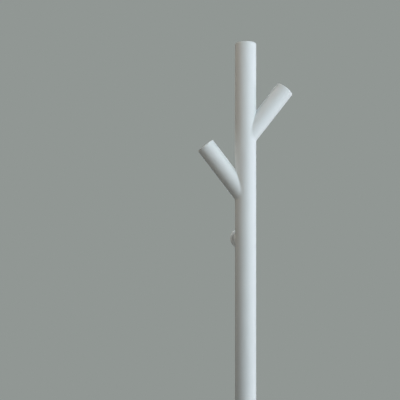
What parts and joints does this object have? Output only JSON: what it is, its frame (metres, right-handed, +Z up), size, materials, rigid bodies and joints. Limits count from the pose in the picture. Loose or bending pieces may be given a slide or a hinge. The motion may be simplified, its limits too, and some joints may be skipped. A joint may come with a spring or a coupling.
{
  "type": "standing coat rack",
  "caption": "Coat rack made of a round steel pole with straight round branches leaning out at different heights, on a flat round base, with a round spacer that fixes it to the wall.",
  "frame": {"origin": "on the floor under the pole's axis, at the centre of the base mat's underside", "axes": "+Z up along the pole; +Y from the pole straight to the wall behind it; +X to the side of the upper branch, so the branches lie in the XZ plane"},
  "size_m": [0.2145, 0.2744, 1.65],
  "materials": {
    "white_powder_coat": "matte white powder coat on steel",
    "zinc_plated_steel": "zinc-plated steel",
    "bright_steel": "bright turned steel",
    "grey_nylon": "moulded grey nylon",
    "black_rubber": "matte black rubber"
  },
  "bodies": {
    "root": {"pole_tube": "white_powder_coat", "pole_top_cap": "white_powder_coat", "pole_foot_plug": "bright_steel", "pole_foot_ring": "grey_nylon", "upper_branch_tube": "white_powder_coat", "upper_branch_weld": "white_powder_coat", "upper_branch_cap": "white_powder_coat", "lower_branch_tube": "white_powder_coat", "lower_branch_weld": "white_powder_coat", "lower_branch_cap": "white_powder_coat", "wall_spacer_tube": "white_powder_coat", "wall_spacer_weld": "white_powder_coat", "wall_rosette": "white_powder_coat", "rosette_o_ring": "black_rubber", "wall_boss": "zinc_plated_steel", "wall_screw_upper": "zinc_plated_steel", "wall_screw_lower": "zinc_plated_steel", "wall_plug_upper": "grey_nylon", "wall_plug_lower": "grey_nylon", "spacer_grub_screw": "zinc_plated_steel", "base_disc": "white_powder_coat", "base_mat": "black_rubber", "base_spigot": "bright_steel", "base_screw": "zinc_plated_steel"}
  },
  "joints": []
}
